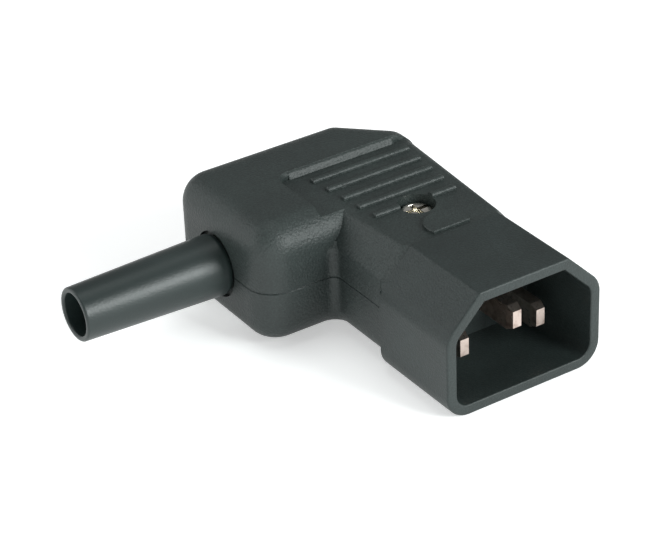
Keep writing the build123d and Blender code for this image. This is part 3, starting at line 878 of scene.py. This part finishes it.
@dataclass
class Shroud:
    """The six-sided shroud with its softened rim, and the root and flange that the shells grip."""

    finishes: Finishes
    outer: Section = Section(
        half=14.0, low=0.0, high=20.0, flat=8.0, shoulder=14.0, bottom_round=4.0)
    root: Section = Section(
        half=9.6, low=4.0, high=16.6, flat=5.6, shoulder=13.0, bottom_round=1.5)
    flange: Section = Section(
        half=10.6, low=3.15, high=17.6, flat=7.45, shoulder=14.05, bottom_round=1.0)
    x_flange: float = 7.4
    x_root: float = 9.4
    x_joint: float = 11.6
    x_rim: float = 28.6
    wall: float = 1.75
    depth: float = 15.4
    overlap: float = 0.2
    shoulder_round: float = 1.5
    shoulder_steps: int = 8
    edge_round: float = 0.32
    mouth_round: float = 0.25
    rim_steps: int = 3
    rim_split: float = 0.85
    blade_pitch: float = 7.0
    blade_z: float = 7.7
    earth_rise: float = 4.0
    slot_w: float = 2.1
    slot_h: float = 4.1
    clear: float = 1.0

    def build(self) -> bpy.types.Object:
        """Makes the shroud, adds what is hidden in the shells and cuts the blades' slots.

        Returns:
            The finished moulding.
        """
        piece = self._cup()
        for part, name, x_start, x_end in (
                (self.root, "shroud_root", self.x_root - self.overlap, self.x_joint + self.overlap),
                (self.flange, "shroud_flange", self.x_flange, self.x_root)):
            piece.combine(part.prism(name, x_start, x_end), "UNION")
        for side, rise in ((-1, 0.0), (1, 0.0), (0, self.earth_rise)):
            y, z = AXIS_Y + side * self.blade_pitch, self.blade_z + rise
            x_start, x_end = self.x_flange - self.clear, self.x_rim - self.depth + self.clear
            slot = Workpiece.block(
                "slot", mm(x_start, y - self.slot_w / 2, z - self.slot_h / 2),
                mm(x_end, y + self.slot_w / 2, z + self.slot_h / 2))
            piece.combine(slot, "DIFFERENCE")
        obj = piece.finish(self.finishes.get(Look.SHROUD))
        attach(obj, "root")
        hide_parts("shroud")
        return obj

    def _cup(self) -> Workpiece:
        """Draws out the shroud, rounds its shoulders, hollows it and softens its ridges and rim.

        Returns:
            The open cup that takes the socket.
        """
        piece = self.outer.prism("shroud_skin", self.x_joint, self.x_rim)
        with piece.editing("EDGE"):
            piece.pick_edges(self.outer.along(self.outer.half, self.outer.shoulder))
            piece.bevel(self.shoulder_round, self.shoulder_steps)
            piece.pick_faces(lambda place, normal: normal.x > 1 - TOUCH)
            piece.inset(self.wall)
            piece.extrude(mm(-self.depth, 0, 0))
            inside = -self.wall * self.rim_split
            rim, mouth = self._on_rim(inside, inf), self._on_rim(-inf, inside)
            ridge = self.outer.along(self.outer.flat, self.outer.high)
            outer = piece.pick_edges(lambda one, two: rim(one, two) or ridge(one, two))
            piece.bevel(self.edge_round, self.rim_steps)
            inner = piece.pick_edges(mouth)
            piece.bevel(self.mouth_round, self.rim_steps)
        LOG.info("shroud: %d rim edges and %d mouth edges rounded", outer, inner)
        return piece

    def _on_rim(self, low: float, high: float) -> Test:
        """Makes a test for edges of the rim's end face.

        Args:
            low: How far outside the outer flats they lie at least, less than 0 inside.
            high: How far they lie outside at most.

        Returns:
            The test.
        """
        def chosen(*ends: Vector) -> bool:
            """Whether both ends lie on the rim and between the distances."""
            return all(abs(end.x - self.x_rim) < TOUCH and low < self.outer.beyond(end) < high
                       for end in ends)
        return chosen


@dataclass
class HousingScrew:
    """The screw in the grip: a domed head with a slot and a shorter cross."""

    finishes: Finishes
    shank_r: float = 1.4
    head_r: float = 2.6
    head_h: float = 1.8
    dome: float = 0.8
    dome_steps: int = 8
    drive_w: float = 0.8
    cross_len: float = 3.2
    drive_depth: float = 1.1
    drive_soft: float = 0.09
    drive_steps: int = 2
    clear: float = 1.0
    points: int = 72

    def build(self, node: bpy.types.Object) -> bpy.types.Object:
        """Turns the screw, rounds its head and cuts the drive.

        Args:
            node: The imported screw, which gives the ends.

        Returns:
            The finished screw.
        """
        heights = [corner[2] / MM for corner in node.bound_box]
        low, high = min(heights), max(heights)
        seat = high - self.head_h
        piece = Turned("Z", (SCREW_X, AXIS_Y, 0.0), self.points).turn("housing_screw_skin", [
            (low, self.shank_r), (seat, self.shank_r), (seat, self.head_r), (high, self.head_r)])
        with piece.editing("EDGE"):
            piece.pick_edges(self._on_top(high, self.head_r - NEAR, inf))
            piece.bevel(self.dome, self.dome_steps)
            piece.face_outwards()
        for along_x, along_y in ((self.drive_w, 2 * self.head_r), (self.cross_len, self.drive_w)):
            driver = Workpiece.block(
                "driver", mm(SCREW_X - along_x / 2, AXIS_Y - along_y / 2, high - self.drive_depth),
                mm(SCREW_X + along_x / 2, AXIS_Y + along_y / 2, high + self.clear))
            piece.combine(driver, "DIFFERENCE")
        with piece.editing("EDGE"):
            count = piece.pick_edges(self._on_top(high, -inf, self.head_r - self.dome - NEAR))
            piece.bevel(self.drive_soft, self.drive_steps)
        LOG.info("screw head: %d drive edges softened", count)
        obj = piece.finish(self.finishes.get(Look.SCREW))
        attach(obj, "root")
        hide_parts("housing_screw")
        return obj

    @staticmethod
    def _on_top(high: float, inner: float, outer: float) -> Test:
        """Makes a test for edges of the head's flat top.

        Args:
            high: The top's height.
            inner: How far from the screw's axis they lie at least.
            outer: How far they lie at most.

        Returns:
            The test.
        """
        axis = Vector((SCREW_X, AXIS_Y))

        def chosen(*ends: Vector) -> bool:
            """Whether both ends lie on the top and between the distances."""
            return all(end.z > high - TOUCH and inner < (end.xy - axis).length < outer
                       for end in ends)
        return chosen


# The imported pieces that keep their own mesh


@dataclass
class KeptPieces:
    """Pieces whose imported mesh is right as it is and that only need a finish."""

    finishes: Finishes
    poles: tuple[str, ...] = ("line", "neutral", "earth")
    sides: tuple[str, ...] = ("left", "right")

    def _looks(self) -> dict[str, Look]:
        """Lists which finish each piece gets.

        Returns:
            The looks, by the nodes' names.
        """
        looks = {"upper_shell": Look.SHELL, "lower_shell": Look.SHELL}
        for pole in self.poles:
            looks[f"{pole}_pin"] = Look.CONTACT
            looks[f"{pole}_terminal"] = Look.TERMINAL
            looks[f"{pole}_wire_leaf"] = Look.LEAF
            looks[f"{pole}_terminal_screw"] = Look.SCREW
        for side in self.sides:
            looks[f"{side}_clamp_screw"] = Look.SCREW
            looks[f"{side}_insert"] = Look.TERMINAL
        return looks | {"housing_nut": Look.SCREW, "cord_clamp": Look.CLAMP}

    def dress(self, nodes: dict[str, bpy.types.Object]) -> None:
        """Gives each node the material of its look.

        Args:
            nodes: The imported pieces, by name.
        """
        for name, look in self._looks().items():
            node = nodes[name]
            material = self.finishes.get(look)
            if not node.material_slots:
                node.data.materials.append(material)
            for slot in node.material_slots:
                slot.material = material
            LOG.info("%s keeps its mesh and gets %s", name, material.name)


# The table, the light and the camera


@dataclass(frozen=True)
class Panel:
    """A square light panel that faces the plug, sized in metres and watts."""

    name: str
    place: tuple[float, float, float]
    side: float
    power: float
    tint: tuple[float, float, float] = (0.95, 1.0, 0.995)

    def hang(self) -> None:
        """Hangs the panel in the room."""
        lamp = bpy.data.lights.new(self.name, "AREA")
        lamp.shape = "SQUARE"
        lamp.size = self.side
        lamp.energy = self.power
        lamp.color = self.tint
        panel = bpy.data.objects.new(self.name, lamp)
        panel.location = self.place
        panel.rotation_euler = Vector(self.place).to_track_quat("Z", "Y").to_euler()
        bpy.context.scene.collection.objects.link(panel)


@dataclass
class Studio:
    """A pale table under soft panels, and the photograph's camera, placed in millimetres."""

    azimuth: float = 57.467
    elevation: float = 31.066
    roll: float = -2.317
    distance: float = 368.51
    slide: tuple[float, float] = (-28.320, 16.849)
    focal_px: float = 2494.8
    aim: tuple[float, float, float] = (28.6, AXIS_Y, 0.0)
    nearest_m: float = 0.01
    table_m: float = 6.0
    table_drop_m: float = 0.00002
    paper_mm: float = 40.0
    paper_tones: tuple[float, float] = (0.93, 0.95)
    paper_roughness: float = 0.8
    table_glow: float = 0.40
    room_light: float = 0.30
    panels: tuple[Panel, ...] = (
        Panel("overhead", (-0.10, 0.05, 0.90), side=0.50, power=1.6),
        Panel("right", (0.64, 0.34, 0.34), side=0.34, power=6.8),
        Panel("left", (-0.28, -0.72, 0.22), side=0.30, power=1.4),
        Panel("left_high", (-0.58, -0.42, 0.38), side=0.40, power=1.1),
        Panel("camera_side", (0.56, -0.42, 0.20), side=0.40, power=1.2),
    )

    def build(self) -> None:
        """Sets up everything round the plug."""
        self._table()
        self._room()
        for panel in self.panels:
            panel.hang()
        self._camera()

    def _table(self) -> None:
        """Lays a wide pale sheet just under the plug."""
        bpy.ops.object.select_all(action="DESELECT")
        bpy.ops.mesh.primitive_plane_add(size=self.table_m, location=(0, 0, -self.table_drop_m))
        table = bpy.context.object
        table.name = "table"
        bpy.ops.object.transform_apply(location=True, rotation=True, scale=True)
        graph = Graph("table")
        dark, light = ((tone, tone, tone, 1.0) for tone in self.paper_tones)
        graph.feed(graph.shader, {
            "Base Color": graph.blend(graph.noise(self.paper_mm), dark, light),
            "Roughness": self.paper_roughness,
            "Emission Color": WHITE,
            "Emission Strength": self.table_glow,
        })
        table.data.materials.append(graph.material)

    def _room(self) -> None:
        """Paints the room: white to look at, but dimmer as a light on the plug."""
        scene = bpy.context.scene
        world = bpy.data.worlds.new("room")
        world.use_nodes = True
        tree = world.node_tree
        background = tree.nodes["Background"]
        background.inputs["Color"].default_value = WHITE
        path = tree.nodes.new("ShaderNodeLightPath")
        seen = tree.nodes.new("ShaderNodeMapRange")
        seen.inputs["To Min"].default_value = self.room_light
        tree.links.new(path.outputs["Is Camera Ray"], seen.inputs["Value"])
        tree.links.new(seen.outputs["Result"], background.inputs["Strength"])
        scene.world = world
        scene.view_settings.view_transform = "Standard"

    def _camera(self) -> None:
        """Sets the camera, from the fit of the plug's known sizes to the photograph."""
        az, el, roll = radians(self.azimuth), radians(self.elevation), radians(self.roll)
        back = Vector((sin(az) * cos(el), -cos(az) * cos(el), sin(el)))
        level = Vector((cos(az), sin(az), 0.0))
        rise = level.cross(-back)
        right = level * cos(roll) + rise * sin(roll)
        up = rise * cos(roll) - level * sin(roll)
        lens = bpy.data.cameras.new("camera")
        lens.sensor_width = SENSOR
        lens.lens = self.focal_px / PHOTO_WIDTH * SENSOR
        lens.clip_start = self.nearest_m
        camera = bpy.data.objects.new("camera", lens)
        turn = Matrix((right, up, back)).transposed().to_4x4()
        step = back * self.distance + right * self.slide[0] + up * self.slide[1]
        place = mm(*self.aim) + step * MM
        camera.matrix_world = Matrix.Translation(place) @ turn
        bpy.context.scene.collection.objects.link(camera)
        bpy.context.scene.camera = camera


def main() -> None:
    """Builds the plug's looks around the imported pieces."""
    logging.basicConfig(level=logging.INFO, format="%(name)s: %(message)s")
    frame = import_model()
    nodes = frame["nodes"]
    finishes = Finishes()
    KeptPieces(finishes).dress(nodes)
    KinkSleeve(finishes).build()
    Grip(finishes).build(nodes["upper_shell"])
    Shroud(finishes).build()
    HousingScrew(finishes).build(nodes["housing_screw"])
    Studio().build()


if __name__ == "__main__":
    main()
